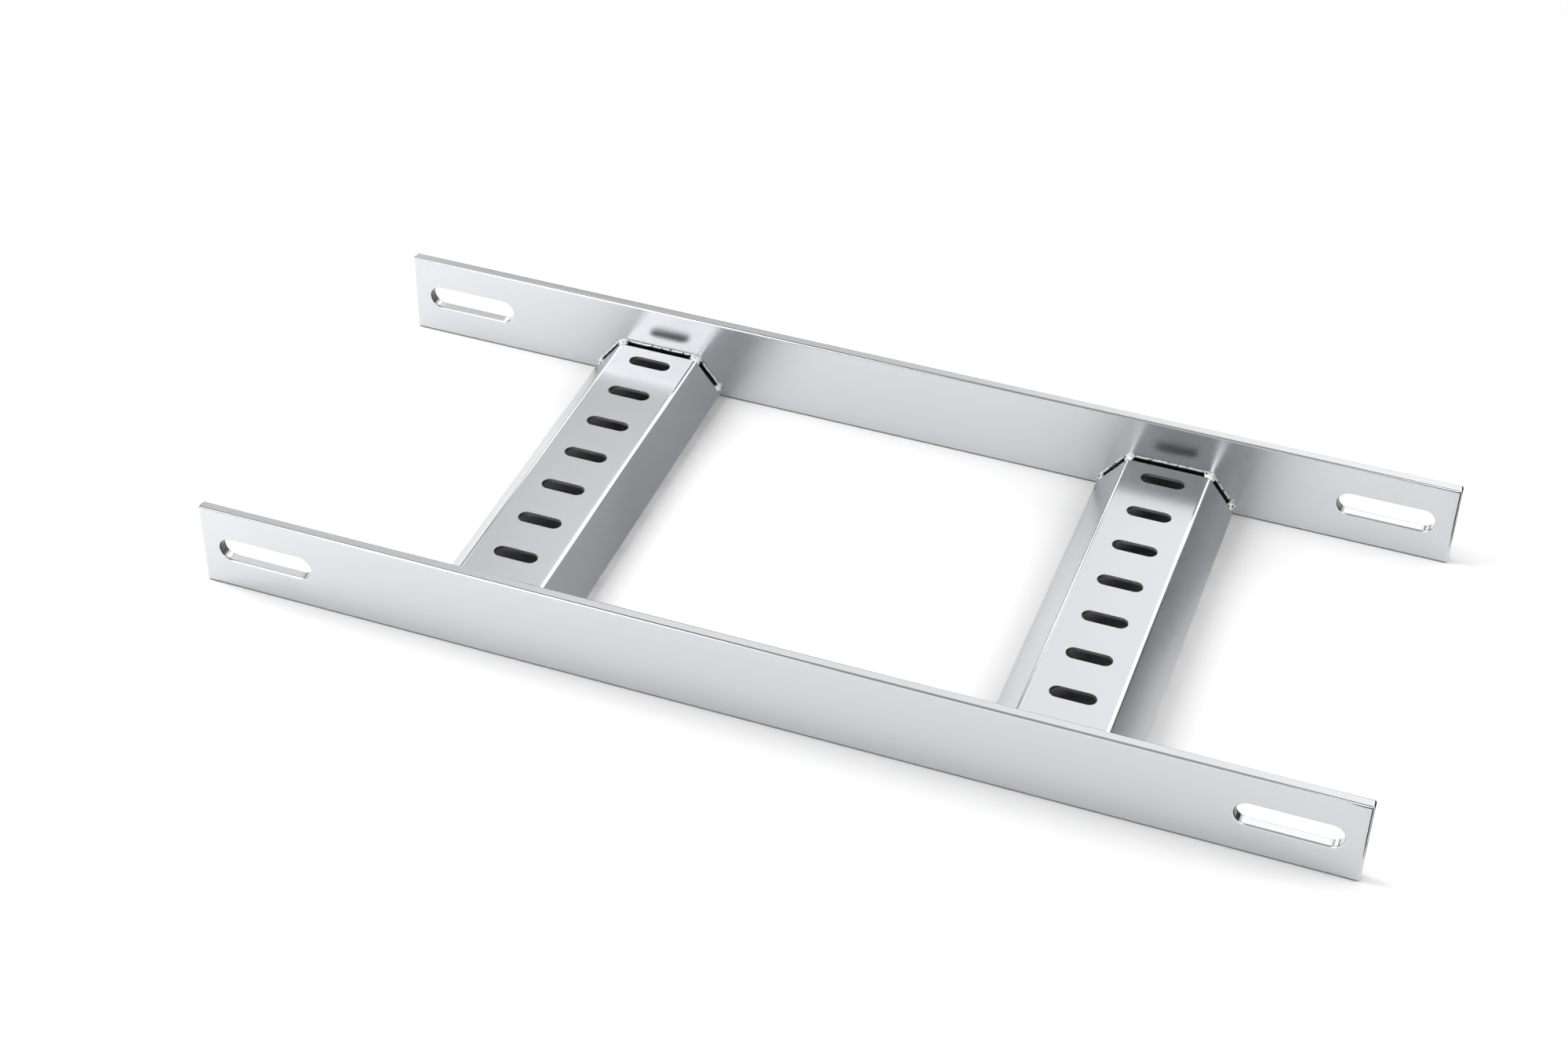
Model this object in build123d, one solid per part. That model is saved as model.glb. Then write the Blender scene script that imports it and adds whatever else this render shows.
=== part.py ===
from build123d import *
import math
import os

# A short section of cable ladder: two flat bar side rails standing on edge, joined by two folded sheet rungs.
# Each rung is an open trough, turned over, with cross slots for cable ties, and is tack welded at its ends.
# Millimetres. X runs along the rails and Z points up. The origin is the middle of the footprint, on the floor.

# Ladder
SECTION_LENGTH = 500.0
CLEAR_WIDTH = 200.0

# Side rails
RAIL_HEIGHT = 40.0
RAIL_THICKNESS = 5.0
RAIL_ARRIS = 0.9
RAIL_SLOT_LENGTH = 43.0
RAIL_SLOT_WIDTH = 11.0
RAIL_SLOT_FROM_END = 30.0

# Rungs
RUNG_COUNT = 2
RUNG_PITCH = 246.0
RUNG_TOP_WIDTH = 38.0
RUNG_FOOT_WIDTH = 63.0
RUNG_DEPTH = 16.0
RUNG_LIFT = 3.0
RUNG_END_GAP = 1.5
SHEET_THICKNESS = 1.5
BEND_RADIUS = 1.0

# Cable tie slots, in a row along each rung
TIE_SLOT_LENGTH = 20.0
TIE_SLOT_WIDTH = 7.0
TIE_SLOT_PITCH = 25.0
TIE_SLOT_END_LAND = 5.0

# Tack welds, one at each corner of a rung's end: wide on the rail, narrower where they lap onto the sheet
TACK_BASE_RADIUS = 2.2
TACK_TIP_RADIUS = 1.5
TACK_LAP = 1.2
LOWER_TACK_RISE = 2.5

# Sizes that follow from those above
RAIL_INNER_FACE = CLEAR_WIDTH / 2
RAIL_MIDDLE = RAIL_INNER_FACE + RAIL_THICKNESS / 2
RUNG_LENGTH = CLEAR_WIDTH - 2 * RUNG_END_GAP
RUNG_TOP_LEVEL = RUNG_LIFT + RUNG_DEPTH
SIDE_FLARE = (RUNG_FOOT_WIDTH - RUNG_TOP_WIDTH) / 2
SIDE_LENGTH = math.hypot(SIDE_FLARE, RUNG_DEPTH)
TIE_SLOT_ROOM = RUNG_LENGTH - 2 * TIE_SLOT_END_LAND - TIE_SLOT_WIDTH
TIE_SLOT_COUNT = int(TIE_SLOT_ROOM // TIE_SLOT_PITCH) + 1
FIRST_RUNG_X = -RUNG_PITCH * (RUNG_COUNT - 1) / 2


def side_rail(middle_y):
    """A flat bar on edge, with eased arrises and one level slot near each end."""
    bar = Pos(0, middle_y, RAIL_HEIGHT / 2) * Box(SECTION_LENGTH, RAIL_THICKNESS, RAIL_HEIGHT)
    bar = fillet(bar.edges(), RAIL_ARRIS)
    slot = extrude(SlotOverall(RAIL_SLOT_LENGTH, RAIL_SLOT_WIDTH), RAIL_THICKNESS, both=True)
    slot_x = SECTION_LENGTH / 2 - RAIL_SLOT_FROM_END
    for x in (-slot_x, slot_x):
        bar -= Pos(x, middle_y, RAIL_HEIGHT / 2) * Rot(90, 0, 0) * slot
    return bar


def rung_section():
    """The folded sheet seen from the rung's end: the outer line of the trough, thickened inwards."""
    outer = Polyline(
        (-RUNG_FOOT_WIDTH / 2, RUNG_LIFT),
        (-RUNG_TOP_WIDTH / 2, RUNG_TOP_LEVEL),
        (RUNG_TOP_WIDTH / 2, RUNG_TOP_LEVEL),
        (RUNG_FOOT_WIDTH / 2, RUNG_LIFT),
    )
    bends = outer.vertices().sort_by(Axis.Y)[-2:]
    outer = fillet(bends, BEND_RADIUS + SHEET_THICKNESS)
    return make_face(offset(outer, SHEET_THICKNESS, side=Side.RIGHT, closed=True))


def rung(x):
    """One folded rung, with its row of cable tie slots through the flat top."""
    trough = extrude(Plane.XZ * rung_section(), RUNG_LENGTH / 2, both=True)
    slot = extrude(SlotOverall(TIE_SLOT_LENGTH, TIE_SLOT_WIDTH), 2 * SHEET_THICKNESS, both=True)
    for place in GridLocations(TIE_SLOT_PITCH, TIE_SLOT_PITCH, 1, TIE_SLOT_COUNT):
        trough -= Pos(0, 0, RUNG_TOP_LEVEL) * place * slot
    return Pos(x, 0, 0) * trough


def tack_points(x):
    """Where a rung's eight tacks stand on the rails: at each bend and near each foot, in the sheet's middle."""
    half_bend = math.atan2(RUNG_DEPTH, SIDE_FLARE) / 2
    outer_radius = BEND_RADIUS + SHEET_THICKNESS
    middle_radius = BEND_RADIUS + SHEET_THICKNESS / 2
    bend_x = RUNG_TOP_WIDTH / 2 - outer_radius * math.tan(half_bend) + middle_radius * math.sin(half_bend)
    bend_z = RUNG_TOP_LEVEL - outer_radius + middle_radius * math.cos(half_bend)
    rise_x = LOWER_TACK_RISE * SIDE_FLARE / SIDE_LENGTH
    rise_z = LOWER_TACK_RISE * RUNG_DEPTH / SIDE_LENGTH
    inset_x = SHEET_THICKNESS / 2 * RUNG_DEPTH / SIDE_LENGTH
    inset_z = SHEET_THICKNESS / 2 * SIDE_FLARE / SIDE_LENGTH
    foot_x = RUNG_FOOT_WIDTH / 2 - rise_x - inset_x
    foot_z = RUNG_LIFT + rise_z - inset_z
    return [
        (x + hand * corner_x, end * RAIL_INNER_FACE, corner_z)
        for corner_x, corner_z in ((bend_x, bend_z), (foot_x, foot_z))
        for hand in (-1, 1)
        for end in (-1, 1)
    ]


def tack_welds(x, rung_solid):
    """Eight small weld beads that stand on the rails, bridge the gaps and lap onto the ends of one rung."""
    height = RUNG_END_GAP + TACK_LAP
    bead = Cone(TACK_BASE_RADIUS, TACK_TIP_RADIUS, height, align=(Align.CENTER, Align.CENTER, Align.MIN))
    beads = []
    for point in tack_points(x):
        towards_rung = Rot(math.copysign(90, point[1]), 0, 0)
        beads.append(Pos(*point) * towards_rung * bead - rung_solid)
    return Compound(children=beads)


# Build the nodes and write one file for each
os.makedirs("parts", exist_ok=True)
export_step(side_rail(-RAIL_MIDDLE), "parts/side_rail_near.step")
export_step(side_rail(RAIL_MIDDLE), "parts/side_rail_far.step")
for number in range(RUNG_COUNT):
    rung_x = FIRST_RUNG_X + number * RUNG_PITCH
    rung_solid = rung(rung_x)
    export_step(rung_solid, f"parts/rung_{number + 1}.step")
    export_step(tack_welds(rung_x, rung_solid), f"parts/tack_welds_{number + 1}.step")
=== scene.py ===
import math

import bmesh
import bpy
from bpy.props import FloatProperty, FloatVectorProperty, IntProperty, PointerProperty
from mathutils import Matrix, Vector, noise


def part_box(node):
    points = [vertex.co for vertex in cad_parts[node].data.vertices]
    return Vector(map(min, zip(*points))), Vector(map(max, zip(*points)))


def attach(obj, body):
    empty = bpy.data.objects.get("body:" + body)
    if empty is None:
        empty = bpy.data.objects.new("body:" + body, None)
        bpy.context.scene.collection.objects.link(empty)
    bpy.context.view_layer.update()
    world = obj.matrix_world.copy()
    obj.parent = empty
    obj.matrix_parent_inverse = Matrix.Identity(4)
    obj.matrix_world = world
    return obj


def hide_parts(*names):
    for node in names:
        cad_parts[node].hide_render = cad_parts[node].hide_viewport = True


bl_info = {
    "name": "Cable Ladder Section",
    "version": (1, 0, 0),
    "blender": (4, 5, 0),
    "location": "3D View > Sidebar > Cable Ladder",
    "description": "Dresses a short cable ladder section in satin steel and stands it on a pale studio floor",
    "category": "Object",
}

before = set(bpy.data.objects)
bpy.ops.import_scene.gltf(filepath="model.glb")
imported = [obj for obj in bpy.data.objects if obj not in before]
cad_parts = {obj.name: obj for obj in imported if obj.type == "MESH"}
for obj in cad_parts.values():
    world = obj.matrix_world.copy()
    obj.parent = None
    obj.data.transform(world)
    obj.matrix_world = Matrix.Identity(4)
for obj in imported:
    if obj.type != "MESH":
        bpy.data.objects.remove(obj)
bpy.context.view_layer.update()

# Nodes of the frame that the pieces stand for
RAILS = ("side_rail_near", "side_rail_far")
RUNGS = ("rung_1", "rung_2")
TACKS = ("tack_welds_1", "tack_welds_2")

# Marks on faces, which the materials read
WEAR = "worn_edge"
CUT = "cut_wall"
# Painted shade: a dark tint on the slots' left end walls and along the rails' feet
PAINTED_SHADE = "painted_shade_edge"
PAINTED_GAP_SHADE = "painted_gap_shade"

# Rails and rungs, with all lengths in metres: strip round a slot, depth of a rung, steps and turning angles
RIM_LAND = 0.0014
RUNG_DEPTH = 0.016
WELD_DISTANCE = 0.00001
SLOT_END_STEPS = 16
EDGE_SEGMENTS = 3
FOLD_SEGMENTS = 10
SHARP_ANGLE = math.radians(50)
FOLD_ANGLE = math.radians(20)

# How little a slot's wall leans, and how high, how far underneath and how dark the painted shade of a rail's
# foot line is
WALL_LEAN = 0.1
FOOT_LINE = 0.001
FOOT_LEAN = -0.2
FOOT_PAINTED_SHADE = 0.8

# Thin weld line on a rail round a rung's end, its waver, and the black strip of painted shade below it, in
# the gap
SEAM_SIDES = 10
SEAM_STEPS = 12
SEAM_OFFSET = 0.0008
SEAM_SHORT = 0.0015
SEAM_WAVER_SCALE = 500
SEAM_WAVER_DEPTH = 0.5
SEAM_SEED = 7
GAP_SHADE_LIFT = 0.0002
GAP_SHADE_DEPTH = 0.0013

# Weld beads: steps of the dome, its ripples and lumps, and how it leans and bends over the fold
BEAD_PROFILE_STEPS = 20
BEAD_TURN_STEPS = 28
BEAD_RIPPLES = 9
BEAD_RIPPLE_DEPTH = 0.035
BEAD_LUMPS = 600
BEAD_LUMP_DEPTH = 0.4
BEAD_GRIT = 3
BEAD_GRIT_DEPTH = 0.2
BEAD_BEND = 0.6
BEAD_TILT = 0.7
BEND_BEAD_STRETCH = 1.35

# Places of the beads: off the rail, in from a bend, and in from a foot and above it
BEAD_STAND = 0.0012
BEND_INSET = 0.0004
FOOT_INSET = 0.0016
FOOT_RISE = 0.0020

# Rolled steel: the grain and the clouds in its gloss, and the shade of each kind of face
GRAIN_DRAW = 0.02
GRAIN_SCALE = 2600
GRAIN_DETAIL = 2
GRAIN_BUMP = 0.04
GRAIN_GLOSS = 0.012
CLOUD_SCALE = 22
CLOUD_DETAIL = 3
CLOUD_GLOSS = 0.02
CLOUD_RANGE = (0.1, 0.9)
CLOUD_SHADE = 0.975
WORN_SHADE = 1.1
WORN_LIMIT = 0.95
# Tint of the painted shade on the slots' left end walls and the rails' feet
PAINTED_SHADE_LEVEL = 0.12
RAIL_WALL_SHADE = 1.15
RUNG_WALL_SHADE = 0.8

# Weld metal: lumps, dark specks of oxide, and black for the strip of painted gap shade
LUMP_SCALE = 900
LUMP_DETAIL = 3
LUMP_GLOSS = (0.16, 0.32)
LUMP_BUMP = 0.6
LUMP_HEIGHT = 0.00008
SPECK_SCALE = 450
SPECK_RIM = (0.25, 0.33)
SPECK_SHADE = 0.1
GAP_SHADE_COLOUR = (0.012, 0.012, 0.012)
BEAD_METALLIC = 0.45

# Camera
CAMERA_PLACE = (0.27924, -0.86226, 0.75612)
CAMERA_RIGHT = (0.93890667, 0.34380531, 0.01587989)
CAMERA_UP = (-0.22762828, 0.58570557, 0.77790382)
CAMERA_BACK = (0.25814652, -0.7339938, 0.62818268)
CAMERA_CLIP = (0.05, 100)
SENSOR_WIDTH = 36.0

# Sky: it ends between these heights, 1 being straight above, and is dark this many degrees round the camera
SKY_OPENING = (0.77, 0.81)
CAMERA_SHADE = (22, 27)

# Floor: it goes over into plain white between these distances from the ladder's middle
FLOOR_FAR = (0.5, 1.0)
FLOOR_ROUGHNESS = 0.9

# Lamps
KEY_PLACE = (-1.1, -0.1, 0.85)
FILL_PLACE = (1.1, -0.1, 0.65)
LAMP_SIZE = 0.9

# Light tent, and how bright it is to a mirror that is itself seen in a dull face
TENT_RADIUS = 6.0
TENT_SEGMENTS = 96
TENT_RINGS = 48
SCATTERED_LEVEL = 0.35

# Brightness of the tent by compass angle, from straight behind the ladder and clockwise from above
TENT_LOW = (
    (-180, 1.00), (-130, 0.60), (-56, 0.35), (-30, 0.40), (0, 0.52), (30, 0.52), (60, 0.50), (120, 0.35),
    (142, 0.35), (147, 2.20), (158, 2.20), (162, 0.80), (180, 1.00),
)
TENT_MIDDLE = (
    (-180, 0.45), (-130, 0.45), (-56, 0.40), (-31, 0.10), (-18, 0.10), (-12, 0.60), (-8, 1.60),
    (10, 1.60), (16, 1.40), (42, 1.40), (60, 0.30), (120, 0.30), (139, 0.30), (143, 6.00), (159, 6.00),
    (162, 0.45), (180, 0.45),
)
TENT_HIGH = (
    (-180, 0.50), (-162, 0.50), (-150, 1.20), (-128, 2.20), (-103, 2.40), (-88, 0.10), (-58, 0.10),
    (-46, 1.60), (-38, 1.50), (-34, 1.10), (-31.5, 0.50), (-30, 0.70), (-27.5, 1.38), (-24, 1.45),
    (-20, 1.32), (-15, 1.27), (-10, 1.31), (0, 1.33), (10, 1.75), (18, 3.70), (42, 3.70), (60, 1.10),
    (80, 1.50), (105, 1.50), (125, 0.63), (137, 0.63), (143, 4.00), (157, 4.00), (161, 0.50), (180, 0.50),
)

# Bands above the low one and then the roof's two levels, each with the elevations where it comes in
TENT_BANDS = ((TENT_MIDDLE, 17, 20), (TENT_HIGH, 29, 39.5))
TENT_ROOF = ((0.10, 54, 61), (0.60, 70, 78))

# Small cards before the tent: compass angle, elevation, radius of card and of its soft rim, brightness
TENT_CARDS = (
    (-27, 31.5, 2, 5, 0.3),
    (-36.5, 34.5, 3, 4.5, 0.02),
    (-40.5, 28.5, 3, 4.5, 0.02),
    (-34, 27, 2.5, 4.5, 3.0),
    (-30, 24, 3, 4.5, 3.0),
    (-39, 20, 5, 7, 3.2),
    (40.5, 18, 4, 6, 0.05),
    (-157, 33, 6, 9, 3.3),
    (-148, 23, 5.5, 7.5, 9.0),
    (-171, 36, 4, 7, 0.15),
)

# Slats beside the right ends
SLAT_X = 0.2575
SLAT_DEPTH = 0.01
SLAT_PITCH = 0.008
SLAT_COUNT = 41
SLAT_HEIGHT = 0.046
SLAT_LIFT = 0.003
SLAT_LEVEL = 0.03


class LadderSizes(bpy.types.PropertyGroup):
    """Sizes of the rails, the rungs and the weld beads."""

    rail_slot_length: FloatProperty(
        name="Rail Slot Length", default=0.043, unit="LENGTH",
        description="Length of the slot at each end of a rail",
    )
    rail_slot_width: FloatProperty(
        name="Rail Slot Width", default=0.011, unit="LENGTH",
        description="Width of the slot at each end of a rail",
    )
    rail_slot_from_end: FloatProperty(
        name="Rail Slot From End", default=0.03, unit="LENGTH",
        description="From a rail's end to its slot's middle",
    )
    rail_arris: FloatProperty(
        name="Rail Arris", default=0.0009, unit="LENGTH",
        description="Radius of the eased edges of a rail",
    )
    rail_slot_edge: FloatProperty(
        name="Rail Slot Edge", default=0.0008, unit="LENGTH",
        description="Radius of the rim of a rail's slot",
    )
    rung_top_width: FloatProperty(
        name="Rung Top Width", default=0.038, unit="LENGTH",
        description="Width of a rung's flat top, before the folds",
    )
    sheet_thickness: FloatProperty(
        name="Sheet Thickness", default=0.0015, unit="LENGTH",
        description="Thickness of the rungs' sheet",
    )
    fold_radius: FloatProperty(
        name="Fold Radius", default=0.0025, unit="LENGTH",
        description="Outer radius of a rung's folds",
    )
    tie_slot_length: FloatProperty(
        name="Tie Slot Length", default=0.02, unit="LENGTH",
        description="Length of a cable tie slot",
    )
    tie_slot_width: FloatProperty(
        name="Tie Slot Width", default=0.007, unit="LENGTH",
        description="Width of a cable tie slot",
    )
    tie_slot_pitch: FloatProperty(
        name="Tie Slot Pitch", default=0.025, unit="LENGTH",
        description="From one cable tie slot to the next",
    )
    tie_slot_count: IntProperty(
        name="Tie Slot Count", default=8, min=1,
        description="Number of cable tie slots in a rung",
    )
    punched_edge: FloatProperty(
        name="Punched Edge", default=0.0005, unit="LENGTH",
        description="Radius that punching leaves on a tie slot's rim",
    )
    bead_radius: FloatProperty(
        name="Bead Radius", default=0.0018, unit="LENGTH",
        description="Radius of a tack weld bead",
    )
    bead_height: FloatProperty(
        name="Bead Height", default=0.0013, unit="LENGTH",
        description="How far a tack weld bead stands out",
    )
    seam_radius: FloatProperty(
        name="Seam Radius", default=0.0005, unit="LENGTH",
        description="Radius of the thin weld line on a rail",
    )


class LadderFinish(bpy.types.PropertyGroup):
    """Colours and gloss of the steel."""

    rail_colour: FloatVectorProperty(
        name="Rail Colour", default=(0.612, 0.617, 0.635), subtype="COLOR",
        description="Colour of the rails' steel",
    )
    rung_colour: FloatVectorProperty(
        name="Rung Colour", default=(0.605, 0.61, 0.63), subtype="COLOR",
        description="Colour of the rungs' sheet",
    )
    bead_colour: FloatVectorProperty(
        name="Bead Colour", default=(0.93, 0.93, 0.94), subtype="COLOR",
        description="Colour of the weld beads",
    )
    satin: FloatProperty(
        name="Satin Roughness", default=0.22, subtype="FACTOR",
        description="Roughness of the flat faces",
    )
    polish: FloatProperty(
        name="Worn Edge Roughness", default=0.16, subtype="FACTOR",
        description="Roughness of the rubbed edges",
    )
    cut_roughness: FloatProperty(
        name="Cut Wall Roughness", default=0.5, subtype="FACTOR",
        description="Roughness of the punched slots' walls",
    )
    grain_height: FloatProperty(
        name="Grain Height", default=0.000002, unit="LENGTH", precision=6,
        description="Height of the rolling grain",
    )


class StudioSettings(bpy.types.PropertyGroup):
    """The floor, the light and the camera."""

    floor_colour: FloatVectorProperty(
        name="Floor Colour", default=(1.15, 1.15, 1.15), subtype="COLOR",
        description="Colour of the floor",
    )
    floor_bounce: FloatVectorProperty(
        name="Floor Bounce", default=(0.1, 0.1, 0.1), subtype="COLOR",
        description="Colour that the floor throws back up",
    )
    floor_size: FloatProperty(
        name="Floor Size", default=60.0, unit="LENGTH",
        description="Width of the floor",
    )
    sky_level: FloatProperty(
        name="Sky Level", default=0.88,
        description="Strength of the light from all round",
    )
    key_level: FloatProperty(
        name="Key Power", default=15.7,
        description="Power of the soft lamp on the left",
    )
    fill_level: FloatProperty(
        name="Fill Power", default=6.6,
        description="Power of the soft lamp on the right",
    )
    lens: FloatProperty(
        name="Lens", default=62.09, unit="CAMERA",
        description="Focal length of the camera",
    )


# Meshes

def place_mesh(name, bm, material):
    """Turn a bmesh into an object in the scene, with one material."""
    mesh = bpy.data.meshes.new(name)
    bm.to_mesh(mesh)
    bm.free()
    piece = bpy.data.objects.new(name, mesh)
    bpy.context.scene.collection.objects.link(piece)
    mesh.materials.append(material)
    return piece


def finish_piece(name, bm, material, node):
    """Make a piece that stands for a CAD node and rides on the ladder."""
    piece = place_mesh(name, bm, material)
    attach(piece, "root")
    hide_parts(node)


def stage_piece(name, bm, material):
    """Make an object of the studio, which isn't part of the ladder."""
    piece = place_mesh(name, bm, material)
    return piece


def face_upwards(bm):
    """Turn all faces the same way, with most of them facing up."""
    bmesh.ops.recalc_face_normals(bm, faces=bm.faces[:])
    if sum(face.normal.z for face in bm.faces) < 0:
        bmesh.ops.reverse_faces(bm, faces=bm.faces[:])


def of_kind(drawn, kind):
    """The vertices or edges among what an operator has drawn."""
    return [item for item in drawn if isinstance(item, kind)]


def slot_outline(bm, centre, length, width, land):
    """A flat ring of faces round one obround slot, along X, and the ring's outer edges."""
    radius = width / 2
    half = (length - width) / 2
    before = set(bm.edges)
    inner = bm.verts.new((centre[0] + half, centre[1] - radius, 0))
    outer = bm.verts.new((centre[0] + half, centre[1] - radius - land, 0))
    leading = bm.edges.new((inner, outer))
    for side in (1, -1):
        turned = bmesh.ops.spin(
            bm, geom=[leading], cent=(centre[0] + side * half, centre[1], 0), axis=(0, 0, 1),
            angle=math.pi, steps=SLOT_END_STEPS,
        )
        leading = of_kind(turned["geom_last"], bmesh.types.BMEdge)[0]
        drawn = bmesh.ops.extrude_edge_only(bm, edges=[leading])["geom"]
        moved = of_kind(drawn, bmesh.types.BMVert)
        bmesh.ops.translate(bm, vec=(-side * 2 * half, 0, 0), verts=moved)
        leading = next(edge for edge in bm.edges if all(vert in moved for vert in edge.verts))
    ring = dict.fromkeys(vert for edge in bm.edges if edge not in before for vert in edge.verts)
    bmesh.ops.remove_doubles(bm, verts=list(ring), dist=WELD_DISTANCE)
    reach = radius + land / 2
    rim = [edge for edge in bm.edges if edge not in before and edge.is_boundary]
    return [edge for edge in rim if slot_distance(edge.verts[0].co, centre, half) > reach]


def slot_distance(point, centre, half):
    """How far a point is from the middle line of a slot."""
    along = min(max(point.x - centre[0], -half), half)
    return math.hypot(point.x - centre[0] - along, point.y - centre[1])


def slotted_plate(bm, width, height, places, slot_length, slot_width):
    """A flat plate in the XY plane, with a border strip and a strip round each slot."""
    scale = Matrix.Diagonal((width, height, 1, 1))
    bmesh.ops.create_grid(bm, x_segments=1, y_segments=1, size=0.5, matrix=scale)
    middle = bm.faces[:]
    bmesh.ops.inset_region(
        bm, faces=middle, thickness=RIM_LAND, use_boundary=True, use_even_offset=True
    )
    net = list(middle[0].edges)
    bmesh.ops.delete(bm, geom=middle, context="FACES_ONLY")
    for place in places:
        net += slot_outline(bm, place, slot_length, slot_width, RIM_LAND)
    bmesh.ops.triangle_fill(bm, use_beauty=True, use_dissolve=False, edges=net, normal=(0, 0, 1))
    face_upwards(bm)


def mark_worn(bm, faces):
    """Mark faces as worn and shade them smooth."""
    wear = bm.faces.layers.float[WEAR]
    for face in faces:
        face[wear] = 1.0
        face.smooth = True


def ease_edges(bm, edges, radius):
    """Round the given edges and mark the new faces as worn."""
    made = bmesh.ops.bevel(
        bm, geom=edges, offset=radius, offset_type="OFFSET", segments=EDGE_SEGMENTS, profile=0.5,
        affect="EDGES", clamp_overlap=True, material=-1,
    )
    mark_worn(bm, made["faces"])


def mark_walls(bm, reach):
    """Mark the slots' walls, which stand within reach of the plate's middle, and paint shade on their left
    ends, the walls that face +X.
    """
    cut = bm.faces.layers.float.new(CUT)
    painted_shade = bm.faces.layers.float.new(PAINTED_SHADE)
    for face in bm.faces:
        if abs(face.normal.z) < WALL_LEAN and all(within(vert.co, reach) for vert in face.verts):
            face[cut] = 1.0
            # Painted shade on the left end wall of each slot, the wall facing +X
            face[painted_shade] = max(0.0, face.normal.x)


def paint_foot_shade(bm, height):
    """Paint shade, as a dark line, onto the eased edges along the foot of a rail."""
    painted_shade = bm.faces.layers.float[PAINTED_SHADE]
    bm.normal_update()
    for face in bm.faces:
        if face.calc_center_median().z < -height / 2 + FOOT_LINE and face.normal.z < FOOT_LEAN:
            # Painted shade along the rail's foot
            face[painted_shade] = FOOT_PAINTED_SHADE


def within(point, reach):
    """Whether a point lies inside the given reach, in X and in Y."""
    return abs(point.x) < reach[0] and abs(point.y) < reach[1]


def sharp_edges(bm, angle):
    """The edges where two faces meet at more than an angle."""
    return [edge for edge in bm.edges if edge.is_manifold and edge.calc_face_angle() > angle]


def model_rail(node, sizes):
    """One flat bar on edge, with eased arrises and a slot near each end."""
    low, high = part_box(node)
    length, thickness, height = high - low
    slot_x = length / 2 - sizes.rail_slot_from_end
    places = ((-slot_x, 0), (slot_x, 0))
    bm = bmesh.new()
    slotted_plate(bm, length, height, places, sizes.rail_slot_length, sizes.rail_slot_width)
    bmesh.ops.solidify(bm, geom=bm.faces[:], thickness=thickness)
    bmesh.ops.recalc_face_normals(bm, faces=bm.faces[:])
    slot_reach = sizes.rail_slot_width / 2 + WELD_DISTANCE
    mark_walls(bm, (length, slot_reach))
    bm.faces.layers.float.new(WEAR)
    outline = [
        edge for edge in sharp_edges(bm, SHARP_ANGLE)
        if max(abs(vert.co.y) for vert in edge.verts) > slot_reach
    ]
    ease_edges(bm, outline, sizes.rail_arris)
    ease_edges(bm, sharp_edges(bm, SHARP_ANGLE), sizes.rail_slot_edge)
    upright = Matrix.Rotation(math.pi / 2, 3, "X")
    bmesh.ops.rotate(bm, verts=bm.verts[:], cent=(0, 0, 0), matrix=upright)
    paint_foot_shade(bm, height)
    lowest = Vector([min(vert.co[axis] for vert in bm.verts) for axis in range(3)])
    bmesh.ops.translate(bm, verts=bm.verts[:], vec=low - lowest)
    return bm


def model_rung(node, sizes):
    """One folded and slotted sheet, open below."""
    low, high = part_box(node)
    top = sizes.rung_top_width / 2
    foot = (high.x - low.x) / 2
    length = high.y - low.y
    first = -sizes.tie_slot_pitch * (sizes.tie_slot_count - 1) / 2
    places = [(0, first + number * sizes.tie_slot_pitch) for number in range(sizes.tie_slot_count)]
    bm = bmesh.new()
    slotted_plate(bm, 2 * top, length, places, sizes.tie_slot_length, sizes.tie_slot_width)
    sides = [
        edge for edge in bm.edges
        if all(abs(abs(vert.co.x) - top) < WELD_DISTANCE for vert in edge.verts)
    ]
    drawn = bmesh.ops.extrude_edge_only(bm, edges=sides)["geom"]
    for vert in of_kind(drawn, bmesh.types.BMVert):
        vert.co += Vector((math.copysign(foot - top, vert.co.x), 0, -RUNG_DEPTH))
    face_upwards(bm)
    fold = math.atan2(RUNG_DEPTH, foot - top)
    bm.faces.layers.float.new(WEAR)
    bent = bmesh.ops.bevel(
        bm, geom=sharp_edges(bm, FOLD_ANGLE), offset=sizes.fold_radius * math.tan(fold / 2),
        offset_type="OFFSET", segments=FOLD_SEGMENTS, profile=0.5, affect="EDGES",
        clamp_overlap=False, material=-1,
    )
    mark_worn(bm, bent["faces"])
    bmesh.ops.solidify(bm, geom=bm.faces[:], thickness=sizes.sheet_thickness)
    bmesh.ops.recalc_face_normals(bm, faces=bm.faces[:])
    mark_walls(bm, (sizes.tie_slot_length / 2 + WELD_DISTANCE, length / 2 - sizes.sheet_thickness))
    ease_edges(bm, sharp_edges(bm, SHARP_ANGLE), sizes.punched_edge)
    place = ((low.x + high.x) / 2, (low.y + high.y) / 2, high.z)
    bmesh.ops.translate(bm, verts=bm.verts[:], vec=place)
    return bm


def tack_places(low, high, rail_face, sizes):
    """Where a rung's eight beads sit: the place, the way it faces, the way it runs and its stretch."""
    middle = (low.x + high.x) / 2
    fold = math.atan2(RUNG_DEPTH, (high.x - low.x - sizes.rung_top_width) / 2)
    bend = Vector((sizes.rung_top_width / 2 - BEND_INSET, 0, high.z - BEND_INSET))
    foot = Vector(((high.x - low.x) / 2 - FOOT_INSET, 0, high.z - RUNG_DEPTH + FOOT_RISE))
    for end in (-1, 1):
        for hand in (-1, 1):
            for corner, turn, stretch in ((bend, fold / 2, BEND_BEAD_STRETCH), (foot, fold, 1)):
                place = Vector((middle + hand * corner.x, end * (rail_face - BEAD_STAND), corner.z))
                facing = Vector((hand * math.sin(turn), -end * BEAD_TILT, math.cos(turn))).normalized()
                yield place, facing, Vector((hand * math.cos(turn), 0, -math.sin(turn))), stretch


def draw_along(bm, loop, move):
    """Extrude a loop of edges along a straight line and return the new loop."""
    drawn = bmesh.ops.extrude_edge_only(bm, edges=loop)["geom"]
    bmesh.ops.translate(bm, vec=move, verts=of_kind(drawn, bmesh.types.BMVert))
    return of_kind(drawn, bmesh.types.BMEdge)


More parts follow.
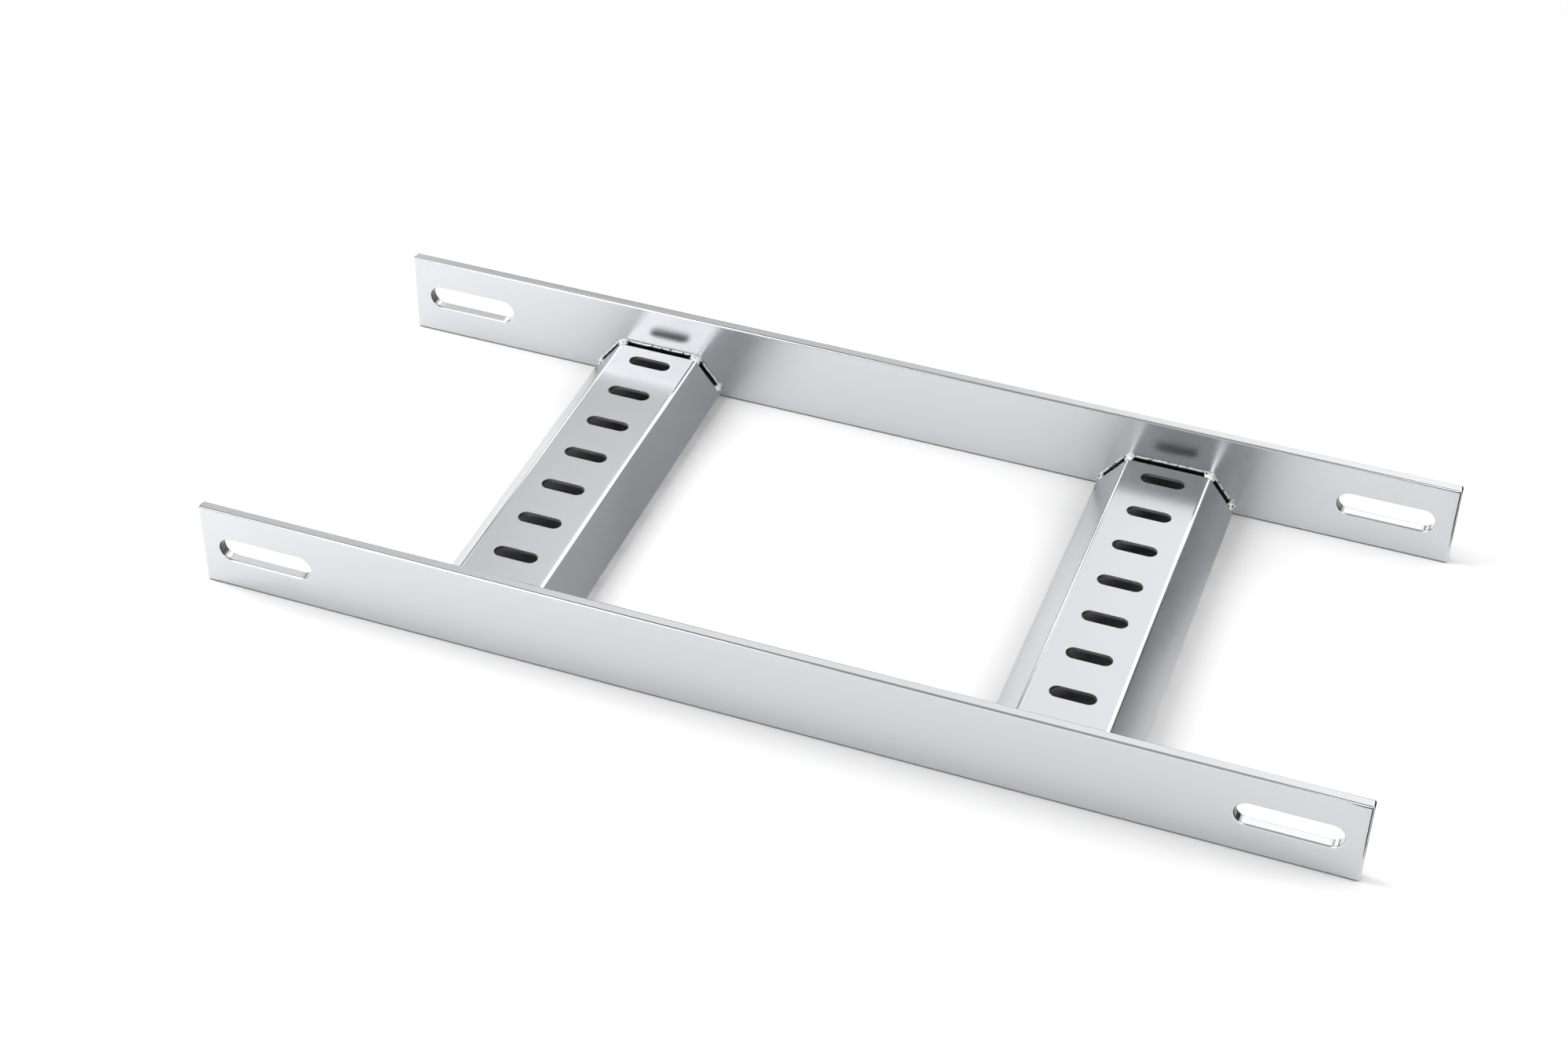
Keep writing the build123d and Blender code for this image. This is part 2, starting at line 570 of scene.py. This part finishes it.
def follow_end(bm, loop, low, high, sizes):
    """Draw a loop of edges along half a rung's end: over the top, round the fold and down the side."""
    top = sizes.rung_top_width / 2
    run = (high.x - low.x) / 2 - top
    fold = math.atan2(RUNG_DEPTH, run)
    tangent = sizes.fold_radius * math.tan(fold / 2)
    slope = math.hypot(RUNG_DEPTH, run) - tangent - SEAM_SHORT
    hub = Vector((top - tangent, 0, high.z - sizes.fold_radius))
    for _ in range(SEAM_STEPS):
        loop = draw_along(bm, loop, Vector((hub.x / SEAM_STEPS, 0, 0)))
    turned = bmesh.ops.spin(bm, geom=loop, cent=hub, axis=(0, 1, 0), angle=fold, steps=SEAM_STEPS)
    loop = of_kind(turned["geom_last"], bmesh.types.BMEdge)
    for _ in range(SEAM_STEPS):
        loop = draw_along(bm, loop, Vector((math.cos(fold), 0, -math.sin(fold))) * slope / SEAM_STEPS)
    bmesh.ops.edgeloop_fill(bm, edges=loop)


def lay_seam(bm, low, high, place_y, sizes):
    """A thin bright weld line on a rail, round the outline of a rung's end, with a black strip below it that
    paints the shade in the gap.
    """
    start = set(bm.verts)
    painted_gap_shade = bm.faces.layers.float.get(PAINTED_GAP_SHADE) or bm.faces.layers.float.new(PAINTED_GAP_SHADE)
    corners = [
        bm.verts.new((0, side * GAP_SHADE_LIFT, high.z + level))
        for side, level in ((-1, SEAM_OFFSET), (1, SEAM_OFFSET), (1, -GAP_SHADE_DEPTH), (-1, -GAP_SHADE_DEPTH))
    ]
    strip = [bm.edges.new(pair) for pair in zip(corners, corners[1:] + corners[:1])]
    follow_end(bm, strip, low, high, sizes)
    # The strip below the weld line is painted shade, black in the gap at the rung's end
    for face in {face for vert in bm.verts if vert not in start for face in vert.link_faces}:
        face[painted_gap_shade] = 1.0
    upright = Matrix.Translation((0, 0, high.z + SEAM_OFFSET)) @ Matrix.Rotation(math.pi / 2, 4, "Y")
    ring = bmesh.ops.create_circle(
        bm, segments=SEAM_SIDES, radius=sizes.seam_radius, matrix=upright
    )["verts"]
    rope = [edge for edge in bm.edges if all(vert in ring for vert in edge.verts)]
    follow_end(bm, rope, low, high, sizes)
    half = [vert for vert in bm.verts if vert not in start]
    faces = list(dict.fromkeys(face for vert in half for face in vert.link_faces))
    edges = list(dict.fromkeys(edge for vert in half for edge in vert.link_edges))
    bmesh.ops.mirror(bm, geom=half + edges + faces, axis="X", merge_dist=WELD_DISTANCE)
    seam = [vert for vert in bm.verts if vert not in start]
    bmesh.ops.translate(bm, verts=seam, vec=((low.x + high.x) / 2, place_y, 0))
    for vert in seam:
        waver = noise.noise_vector(vert.co * SEAM_WAVER_SCALE) * sizes.seam_radius
        vert.co += Vector((waver.x, 0, waver.z)) * SEAM_WAVER_DEPTH


def lay_bead(bm, place, facing, run, stretch, sizes):
    """One rippled dome of weld metal with an uneven edge, stretched along its run and bent over the fold."""
    before = set(bm.verts)
    profile = []
    for step in range(BEAD_PROFILE_STEPS + 1):
        turn = math.pi * step / BEAD_PROFILE_STEPS
        ripple = 1 + BEAD_RIPPLE_DEPTH * math.cos(BEAD_RIPPLES * turn)
        radius = sizes.bead_radius * math.sin(turn) * ripple
        profile.append(bm.verts.new((radius, 0, sizes.bead_height * math.cos(turn) * ripple)))
    line = [bm.edges.new(pair) for pair in zip(profile, profile[1:])]
    bmesh.ops.spin(
        bm, geom=profile + line, cent=(0, 0, 0), axis=(0, 0, 1), angle=math.tau,
        steps=BEAD_TURN_STEPS, use_merge=True,
    )
    bead = [vert for vert in bm.verts if vert not in before]
    bmesh.ops.remove_doubles(bm, verts=bead, dist=WELD_DISTANCE)
    bead = [vert for vert in bm.verts if vert not in before]
    for vert in bead:
        sample = vert.co + place
        lump = noise.noise(sample * BEAD_LUMPS) * BEAD_LUMP_DEPTH
        grit = noise.noise(sample * BEAD_GRIT * BEAD_LUMPS) * BEAD_GRIT_DEPTH
        vert.co *= 1 + (lump + grit)
        vert.co.x *= stretch
        vert.co.z -= abs(vert.co.x) * (stretch - 1) * BEAD_BEND
    axes = Matrix((run, facing.cross(run), facing)).transposed()
    bmesh.ops.transform(bm, verts=bead, matrix=Matrix.Translation(place) @ axes.to_4x4())


def model_tacks(node, sizes):
    """A rung's eight small weld beads, and the weld line and the strip of painted gap shade at each of its
    ends.
    """
    rung = node.replace("tack_welds", "rung")
    low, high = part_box(rung)
    rail_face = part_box("side_rail_far")[0].y
    noise.seed_set(SEAM_SEED)
    bm = bmesh.new()
    for place, facing, run, stretch in tack_places(low, high, rail_face, sizes):
        lay_bead(bm, place, facing, run, stretch, sizes)
    for end in (-1, 1):
        lay_seam(bm, low, high, end * rail_face, sizes)
    bmesh.ops.recalc_face_normals(bm, faces=bm.faces[:])
    for face in bm.faces:
        face.smooth = True
    return bm


# Shader nodes

def add_node(tree, kind, **settings):
    """Add a shader node and set its plain settings."""
    node = tree.nodes.new(kind)
    for name, value in settings.items():
        setattr(node, name, value)
    return node


def feed(tree, socket, value):
    """Link another node's socket to an input, or set a plain number or colour on it."""
    if isinstance(value, bpy.types.NodeSocket):
        tree.links.new(value, socket)
    elif socket.type == "RGBA":
        socket.default_value = (*value, 1)
    else:
        socket.default_value = value


def maths(tree, operation, *values):
    """Work out a number from sockets and plain numbers."""
    node = add_node(tree, "ShaderNodeMath", operation=operation)
    for socket, value in zip(node.inputs, values):
        feed(tree, socket, value)
    return node.outputs["Value"]


def vector_maths(tree, operation, vector, other=None):
    """A node that works on a vector, and on a plain second one where there is one."""
    node = add_node(tree, "ShaderNodeVectorMath", operation=operation)
    tree.links.new(vector, node.inputs[0])
    if other is not None:
        node.inputs[1].default_value = other
    return node


def split(tree, vector):
    """The X, Y and Z of a vector."""
    node = add_node(tree, "ShaderNodeSeparateXYZ")
    tree.links.new(vector, node.inputs["Vector"])
    return node.outputs["X"], node.outputs["Y"], node.outputs["Z"]


def mixed(tree, factor, first, second, data_type="RGBA"):
    """Blend two colours or numbers, each a socket or plain, by a factor."""
    node = add_node(tree, "ShaderNodeMix", data_type=data_type)
    feed(tree, node.inputs["Factor"], factor)
    feed(tree, node.inputs["A"], first)
    feed(tree, node.inputs["B"], second)
    return node.outputs["Result"]


def spread(tree, value, low, high, start=0.3, end=0.7):
    """Map a value from one range onto another."""
    node = add_node(tree, "ShaderNodeMapRange")
    node.inputs["From Min"].default_value = start
    node.inputs["From Max"].default_value = end
    node.inputs["To Min"].default_value = low
    node.inputs["To Max"].default_value = high
    tree.links.new(value, node.inputs["Value"])
    return node.outputs["Result"]


def object_place(tree):
    """A point's place in object coordinates."""
    return add_node(tree, "ShaderNodeTexCoord").outputs["Object"]


def marked(tree, mark):
    """How strongly a face carries a mark."""
    return add_node(tree, "ShaderNodeAttribute", attribute_name=mark).outputs["Fac"]


def noise_field(tree, scale, detail, stretch=(1, 1, 1)):
    """A noise texture in object coordinates, stretched along the metal's grain."""
    mapping = add_node(tree, "ShaderNodeMapping")
    mapping.inputs["Scale"].default_value = stretch
    tree.links.new(object_place(tree), mapping.inputs["Vector"])
    texture = add_node(tree, "ShaderNodeTexNoise")
    texture.inputs["Scale"].default_value = scale
    texture.inputs["Detail"].default_value = detail
    tree.links.new(mapping.outputs["Vector"], texture.inputs["Vector"])
    return texture.outputs["Fac"]


def raise_surface(tree, shader, height, strength, distance):
    """Give a shader fine relief from a field of heights."""
    bump = add_node(tree, "ShaderNodeBump")
    bump.inputs["Strength"].default_value = strength
    bump.inputs["Distance"].default_value = distance
    tree.links.new(height, bump.inputs["Height"])
    tree.links.new(bump.outputs["Normal"], shader.inputs["Normal"])


def show_background(tree, light, shown):
    """A strength that is one value for light and another for what the camera and gloss see."""
    path = add_node(tree, "ShaderNodeLightPath")
    seen = maths(tree, "MAXIMUM", path.outputs["Is Camera Ray"], path.outputs["Is Glossy Ray"])
    seen = maths(tree, "MAXIMUM", seen, path.outputs["Is Transmission Ray"])
    return mixed(tree, seen, light, shown, "FLOAT")


def scattered(tree):
    """One for a ray that a dull face has scattered, and otherwise zero."""
    path = add_node(tree, "ShaderNodeLightPath")
    return maths(tree, "MINIMUM", path.outputs["Diffuse Depth"], 1.0)


def patch(tree, direction, centre, radius, rim, outside, inside):
    """One value in a round patch of directions and another outside its rim, both sizes in degrees."""
    towards = vector_maths(tree, "DOT_PRODUCT", direction, centre).outputs["Value"]
    edge = (math.cos(math.radians(rim)), math.cos(math.radians(radius)))
    return spread(tree, towards, outside, inside, *edge)


def risen(tree, height, bottom, top):
    """Zero below one elevation and one above another, both in degrees."""
    return spread(tree, height, 0.0, 1.0, math.sin(math.radians(bottom)), math.sin(math.radians(top)))


def compass_ramp(tree, turn, stops):
    """Brightness by compass angle."""
    ramp = add_node(tree, "ShaderNodeValToRGB")
    elements = ramp.color_ramp.elements
    while len(elements) > 1:
        elements.remove(elements[-1])
    for number, (degrees, level) in enumerate(stops):
        position = (degrees + 180) / 360
        element = elements[0] if number == 0 else elements.new(position)
        element.position = position
        element.color = (*grey(level), 1)
    tree.links.new(turn, ramp.inputs["Fac"])
    return ramp.outputs["Color"]


def compass_direction(compass_angle, elevation):
    """The direction at a compass angle, clockwise from behind the ladder, and an elevation, in degrees."""
    turn = math.radians(compass_angle)
    rise = math.radians(elevation)
    return Vector((math.sin(turn) * math.cos(rise), math.cos(turn) * math.cos(rise), math.sin(rise)))


# Materials

def grey(level):
    """A grey of one level."""
    return level, level, level


def shaded(colour, shade):
    """A colour made brighter or darker."""
    return tuple(channel * shade for channel in colour)


def start_material(name):
    """A new material with one Principled shader."""
    material = bpy.data.materials.new(name)
    material.use_nodes = True
    return material, material.node_tree, material.node_tree.nodes["Principled BSDF"]


def glow_material(name):
    """A new material that only glows."""
    material = bpy.data.materials.new(name)
    material.use_nodes = True
    tree = material.node_tree
    tree.nodes.clear()
    glow = add_node(tree, "ShaderNodeEmission")
    output = add_node(tree, "ShaderNodeOutputMaterial")
    tree.links.new(glow.outputs["Emission"], output.inputs["Surface"])
    return material, tree, glow


def satin_steel(name, colour, finish, grain, wall_shade, wall_roughness):
    """Rolled satin steel: fine grain along one axis, cloudy gloss, rubbed edges, cut walls, and painted shade
    on the slots' left ends and the rails' feet.
    """
    material, tree, shader = start_material(name)
    along = [1.0, 1.0, 1.0]
    along[grain] = GRAIN_DRAW
    lines = noise_field(tree, GRAIN_SCALE, GRAIN_DETAIL, along)
    clouds = noise_field(tree, CLOUD_SCALE, CLOUD_DETAIL)
    wear, cut, painted_shade = marked(tree, WEAR), marked(tree, CUT), marked(tree, PAINTED_SHADE)

    worn = tuple(min(channel, WORN_LIMIT) for channel in shaded(colour, WORN_SHADE))
    # The last tint is painted shade, on the slots' left end walls and the rails' feet
    tints = ((wear, worn), (cut, shaded(colour, wall_shade)), (painted_shade, shaded(colour, PAINTED_SHADE_LEVEL)))
    base = mixed(tree, clouds, shaded(colour, CLOUD_SHADE), colour)
    for mark, tint in tints:
        base = mixed(tree, mark, base, tint)
    tree.links.new(base, shader.inputs["Base Color"])

    cloudy = (finish.satin - CLOUD_GLOSS, finish.satin + CLOUD_GLOSS)
    rough = maths(tree, "MULTIPLY_ADD", lines, GRAIN_GLOSS, spread(tree, clouds, *cloudy, *CLOUD_RANGE))
    for mark, roughness in ((wear, finish.polish), (cut, wall_roughness)):
        rough = mixed(tree, mark, rough, roughness, "FLOAT")
    tree.links.new(rough, shader.inputs["Roughness"])

    raise_surface(tree, shader, lines, GRAIN_BUMP, finish.grain_height)
    shader.inputs["Metallic"].default_value = 1.0
    return material


def bead_steel(name, colour):
    """Weld metal: bright, a little rougher, with small dark specks of oxide, and black on the strip of
    painted gap shade.
    """
    material, tree, shader = start_material(name)
    lumps = noise_field(tree, LUMP_SCALE, LUMP_DETAIL)
    specks = add_node(tree, "ShaderNodeTexVoronoi")
    specks.inputs["Scale"].default_value = SPECK_SCALE
    tree.links.new(object_place(tree), specks.inputs["Vector"])
    spotted = spread(tree, specks.outputs["Distance"], 1.0, 0.0, *SPECK_RIM)
    base = mixed(tree, spotted, colour, shaded(colour, SPECK_SHADE))
    # Black on the strip of painted gap shade
    base = mixed(tree, marked(tree, PAINTED_GAP_SHADE), base, GAP_SHADE_COLOUR)
    tree.links.new(base, shader.inputs["Base Color"])
    tree.links.new(spread(tree, lumps, *LUMP_GLOSS), shader.inputs["Roughness"])
    raise_surface(tree, shader, lumps, LUMP_BUMP, LUMP_HEIGHT)
    shader.inputs["Metallic"].default_value = BEAD_METALLIC
    return material


# Studio

def make_world(studio):
    """Even light from all round, shown white behind the ladder."""
    world = bpy.data.worlds.new("studio_world")
    world.use_nodes = True
    tree = world.node_tree
    shader = tree.nodes["Background"]
    shader.inputs["Color"].default_value = (1, 1, 1, 1)
    direction = add_node(tree, "ShaderNodeTexCoord").outputs["Generated"]
    height = split(tree, direction)[2]
    sky = spread(tree, height, studio.sky_level, 0.0, *SKY_OPENING)
    clear = patch(tree, direction, CAMERA_BACK, *CAMERA_SHADE, 1.0, 0.0)
    light = maths(tree, "MULTIPLY", sky, clear)
    tree.links.new(show_background(tree, light, 1.0), shader.inputs["Strength"])
    bpy.context.scene.world = world


def make_floor(studio):
    """A wide pale floor that goes over into plain white far from the ladder."""
    material, tree, shader = start_material("floor_paint")
    paint = mixed(tree, scattered(tree), studio.floor_colour, studio.floor_bounce)
    tree.links.new(paint, shader.inputs["Base Color"])
    shader.inputs["Roughness"].default_value = FLOOR_ROUGHNESS
    shader.inputs["Specular IOR Level"].default_value = 0.0
    distance = vector_maths(tree, "LENGTH", object_place(tree)).outputs["Value"]
    seen = add_node(tree, "ShaderNodeLightPath").outputs["Is Camera Ray"]
    far = maths(tree, "MULTIPLY", spread(tree, distance, 0.0, 1.0, *FLOOR_FAR), seen)
    white = add_node(tree, "ShaderNodeEmission")
    both = add_node(tree, "ShaderNodeMixShader")
    tree.links.new(far, both.inputs["Fac"])
    tree.links.new(shader.outputs["BSDF"], both.inputs[1])
    tree.links.new(white.outputs["Emission"], both.inputs[2])
    tree.links.new(both.outputs["Shader"], tree.nodes["Material Output"].inputs["Surface"])
    bm = bmesh.new()
    bmesh.ops.create_grid(bm, x_segments=1, y_segments=1, size=studio.floor_size / 2)
    stage_piece("floor", bm, material)


def show_to_gloss_alone(piece):
    """Hide a piece of the studio from everything but gloss."""
    piece.visible_camera = False
    piece.visible_diffuse = False
    piece.visible_shadow = False


def make_tent():
    """A light tent that only gloss sees: bright cloth, with the darker room below and behind the camera."""
    material, tree, glow = glow_material("tent_cloth")
    away = vector_maths(tree, "NORMALIZE", object_place(tree)).outputs["Vector"]
    east, north, height = split(tree, away)
    turn = spread(tree, maths(tree, "ARCTAN2", east, north), 0.0, 1.0, -math.pi, math.pi)
    cloth = compass_ramp(tree, turn, TENT_LOW)
    for stops, bottom, top in TENT_BANDS:
        cloth = mixed(tree, risen(tree, height, bottom, top), cloth, compass_ramp(tree, turn, stops))
    for compass_angle, elevation, radius, rim, level in TENT_CARDS:
        centre = compass_direction(compass_angle, elevation)
        cloth = mixed(tree, patch(tree, away, centre, radius, rim, 0.0, 1.0), cloth, grey(level))
    for level, bottom, top in TENT_ROOF:
        cloth = mixed(tree, risen(tree, height, bottom, top), cloth, grey(level))
    tree.links.new(cloth, glow.inputs["Color"])
    strength = spread(tree, scattered(tree), 1.0, SCATTERED_LEVEL, 0.0, 1.0)
    tree.links.new(strength, glow.inputs["Strength"])
    bm = bmesh.new()
    bmesh.ops.create_uvsphere(bm, u_segments=TENT_SEGMENTS, v_segments=TENT_RINGS, radius=TENT_RADIUS)
    bmesh.ops.bisect_plane(
        bm, geom=bm.verts[:] + bm.edges[:] + bm.faces[:], plane_co=(0, 0, 0), plane_no=(0, 0, -1),
        clear_outer=True,
    )
    show_to_gloss_alone(stage_piece("light_tent", bm, material))


def make_slats():
    """A row of low dark slats beside the right ends, seen by gloss alone and only from a slant."""
    material, _, glow = glow_material("slat_cloth")
    glow.inputs["Color"].default_value = (*grey(SLAT_LEVEL), 1)
    bm = bmesh.new()
    shape = Matrix.Diagonal((SLAT_DEPTH, 1, SLAT_HEIGHT, 1)) @ Matrix.Rotation(math.pi / 2, 4, "X")
    for number in range(SLAT_COUNT):
        place_y = (number - (SLAT_COUNT - 1) / 2) * SLAT_PITCH
        place = Matrix.Translation((SLAT_X, place_y, SLAT_LIFT + SLAT_HEIGHT / 2))
        bmesh.ops.create_grid(bm, x_segments=1, y_segments=1, size=0.5, matrix=place @ shape)
    show_to_gloss_alone(stage_piece("low_slats", bm, material))


def make_lamp(name, place, power):
    """One wide soft lamp that faces the ladder and that gloss doesn't see."""
    lamp = bpy.data.lights.new(name, "AREA")
    lamp.shape = "DISK"
    lamp.size = LAMP_SIZE
    lamp.energy = power
    stand = bpy.data.objects.new(name, lamp)
    bpy.context.scene.collection.objects.link(stand)
    stand.location = place
    stand.rotation_euler = Vector(place).to_track_quat("Z", "Y").to_euler()
    stand.visible_camera = False
    stand.visible_glossy = False


def make_camera(studio):
    """The camera, where the photograph was taken from."""
    data = bpy.data.cameras.new("camera")
    data.sensor_width = SENSOR_WIDTH
    data.lens = studio.lens
    data.clip_start, data.clip_end = CAMERA_CLIP
    camera = bpy.data.objects.new("camera", data)
    bpy.context.scene.collection.objects.link(camera)
    axes = Matrix((CAMERA_RIGHT, CAMERA_UP, CAMERA_BACK)).transposed().to_4x4()
    camera.matrix_world = Matrix.Translation(CAMERA_PLACE) @ axes
    bpy.context.scene.camera = camera


# Operators

class OBJECT_OT_ladder_rails(bpy.types.Operator):
    """Model the two side rails"""

    bl_idname = "object.ladder_rails"
    bl_label = "Side Rails"

    def execute(self, context):
        sizes = context.scene.ladder_sizes
        finish = context.scene.ladder_finish
        steel = satin_steel("rail_steel", finish.rail_colour, finish, 0, RAIL_WALL_SHADE, finish.satin)
        for node in RAILS:
            finish_piece(f"{node}_bar", model_rail(node, sizes), steel, node)
        return {"FINISHED"}


class OBJECT_OT_ladder_rungs(bpy.types.Operator):
    """Model the two folded rungs"""

    bl_idname = "object.ladder_rungs"
    bl_label = "Rungs"

    def execute(self, context):
        sizes = context.scene.ladder_sizes
        finish = context.scene.ladder_finish
        steel = satin_steel(
            "rung_steel", finish.rung_colour, finish, 1, RUNG_WALL_SHADE, finish.cut_roughness
        )
        for node in RUNGS:
            finish_piece(f"{node}_sheet", model_rung(node, sizes), steel, node)
        return {"FINISHED"}


class OBJECT_OT_ladder_tacks(bpy.types.Operator):
    """Model the tack weld beads"""

    bl_idname = "object.ladder_tacks"
    bl_label = "Tack Welds"

    def execute(self, context):
        sizes = context.scene.ladder_sizes
        steel = bead_steel("bead_steel", context.scene.ladder_finish.bead_colour)
        for node in TACKS:
            finish_piece(f"{node}_beads", model_tacks(node, sizes), steel, node)
        return {"FINISHED"}


class OBJECT_OT_ladder_stage(bpy.types.Operator):
    """Set up the floor, the light and the camera"""

    bl_idname = "object.ladder_stage"
    bl_label = "Studio"

    def execute(self, context):
        studio = context.scene.ladder_studio
        make_world(studio)
        make_floor(studio)
        make_tent()
        make_lamp("key_lamp", KEY_PLACE, studio.key_level)
        make_lamp("fill_lamp", FILL_PLACE, studio.fill_level)
        make_slats()
        make_camera(studio)
        context.scene.view_settings.view_transform = "Standard"
        return {"FINISHED"}


class VIEW3D_PT_ladder(bpy.types.Panel):
    """Lists the pieces of the ladder"""

    bl_label = "Cable Ladder"
    bl_idname = "VIEW3D_PT_ladder"
    bl_space_type = "VIEW_3D"
    bl_region_type = "UI"
    bl_category = "Cable Ladder"

    def draw(self, context):
        scene = context.scene
        for group in (scene.ladder_sizes, scene.ladder_finish, scene.ladder_studio):
            column = self.layout.column()
            for name in group.__annotations__:
                column.prop(group, name)
        for step in STEPS:
            self.layout.operator(step.bl_idname)


STEPS = (OBJECT_OT_ladder_rails, OBJECT_OT_ladder_rungs, OBJECT_OT_ladder_tacks, OBJECT_OT_ladder_stage)
CLASSES = (LadderSizes, LadderFinish, StudioSettings, *STEPS, VIEW3D_PT_ladder)


def register():
    for cls in CLASSES:
        bpy.utils.register_class(cls)
    bpy.types.Scene.ladder_sizes = PointerProperty(type=LadderSizes)
    bpy.types.Scene.ladder_finish = PointerProperty(type=LadderFinish)
    bpy.types.Scene.ladder_studio = PointerProperty(type=StudioSettings)


def unregister():
    del bpy.types.Scene.ladder_studio
    del bpy.types.Scene.ladder_finish
    del bpy.types.Scene.ladder_sizes
    for cls in reversed(CLASSES):
        bpy.utils.unregister_class(cls)


def main():
    register()
    bpy.ops.object.ladder_rails()
    bpy.ops.object.ladder_rungs()
    bpy.ops.object.ladder_tacks()
    bpy.ops.object.ladder_stage()


if __name__ == "__main__":
    main()
